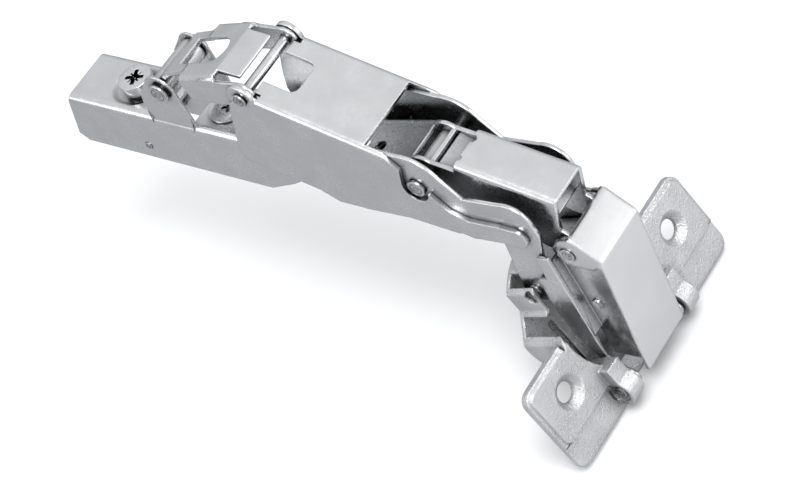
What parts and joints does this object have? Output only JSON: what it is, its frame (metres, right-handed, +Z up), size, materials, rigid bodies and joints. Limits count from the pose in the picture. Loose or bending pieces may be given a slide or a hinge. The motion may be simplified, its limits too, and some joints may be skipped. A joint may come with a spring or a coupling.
{
  "type": "concealed cup hinge",
  "caption": "Wide-angle concealed cabinet hinge: a folding lever linkage between a mounting arm and a drill-in cup with two screw wings, stored fully open.",
  "frame": {"origin": "centre of the cup's mouth, on the face of its screw wings, in the open pose", "axes": "+X along the arm towards the cup, +Y across the hinge and along all its pivots, +Z up from the arm's top face"},
  "size_m": [0.1572, 0.068, 0.0808],
  "materials": {
    "sheet": "bright nickel-plated sheet steel",
    "pins": "nickel-plated steel, turned",
    "bright": "polished nickel plating",
    "die_cast": "satin nickel-plated zinc casting"
  },
  "bodies": {
    "arm": {"arm": "sheet", "side_screw": "bright", "cam_screw": "pins", "cam_bush": "bright", "arm_pin": "pins", "rear_pin": "pins"},
    "rear_lever": {"rear_lever": "sheet", "channel_pin": "bright"},
    "channel": {"channel": "sheet", "plate_near": "sheet", "plate_far": "sheet", "main_pin": "pins", "cup_plate_pin": "pins"},
    "box_link": {"inner_link": "sheet", "main_sleeve": "bright", "tail_pin": "bright", "leaf_spring": "bright"},
    "front_lever": {"front_lever": "sheet", "front_cover": "bright", "cover_rivets": "pins", "link_pin": "pins"},
    "cup": {"cup": "die_cast", "cup_lever_pin": "pins"}
  },
  "joints": [
    {"name": "rear_fold", "type": "hinge", "parent": "arm", "child": "rear_lever", "pos_m": [-0.10395, 0, 0.04665], "axis": [0, -1, 0], "range_deg": [0, 55.3]},
    {"name": "channel_turn", "type": "hinge", "parent": "rear_lever", "child": "channel", "pos_m": [-0.07224, 0, 0.05546], "axis": [0, -1, 0], "range_deg": [-68, 0.2]},
    {"name": "box_turn", "type": "hinge", "parent": "channel", "child": "box_link", "pos_m": [-0.03108, 0, 0.03692], "axis": [0, -1, 0], "range_deg": [-0.2, 110.5]},
    {"name": "lever_turn", "type": "hinge", "parent": "box_link", "child": "front_lever", "pos_m": [0.0026, 0, 0.02306], "axis": [0, -1, 0], "range_deg": [-99.2, 0.2]},
    {"name": "cup_turn", "type": "hinge", "parent": "front_lever", "child": "cup", "pos_m": [0.00696, 0, -0.01559], "axis": [0, -1, 0], "range_deg": [-0.2, 160.1]}
  ],
  "couplings": [
    {"joint": "channel_turn", "follows": "rear_fold", "ratio": -1.226},
    {"joint": "box_turn", "follows": "rear_fold", "ratio": 1.9946},
    {"joint": "lever_turn", "follows": "rear_fold", "ratio": -1.7902},
    {"joint": "cup_turn", "follows": "rear_fold", "ratio": 2.8915}
  ]
}
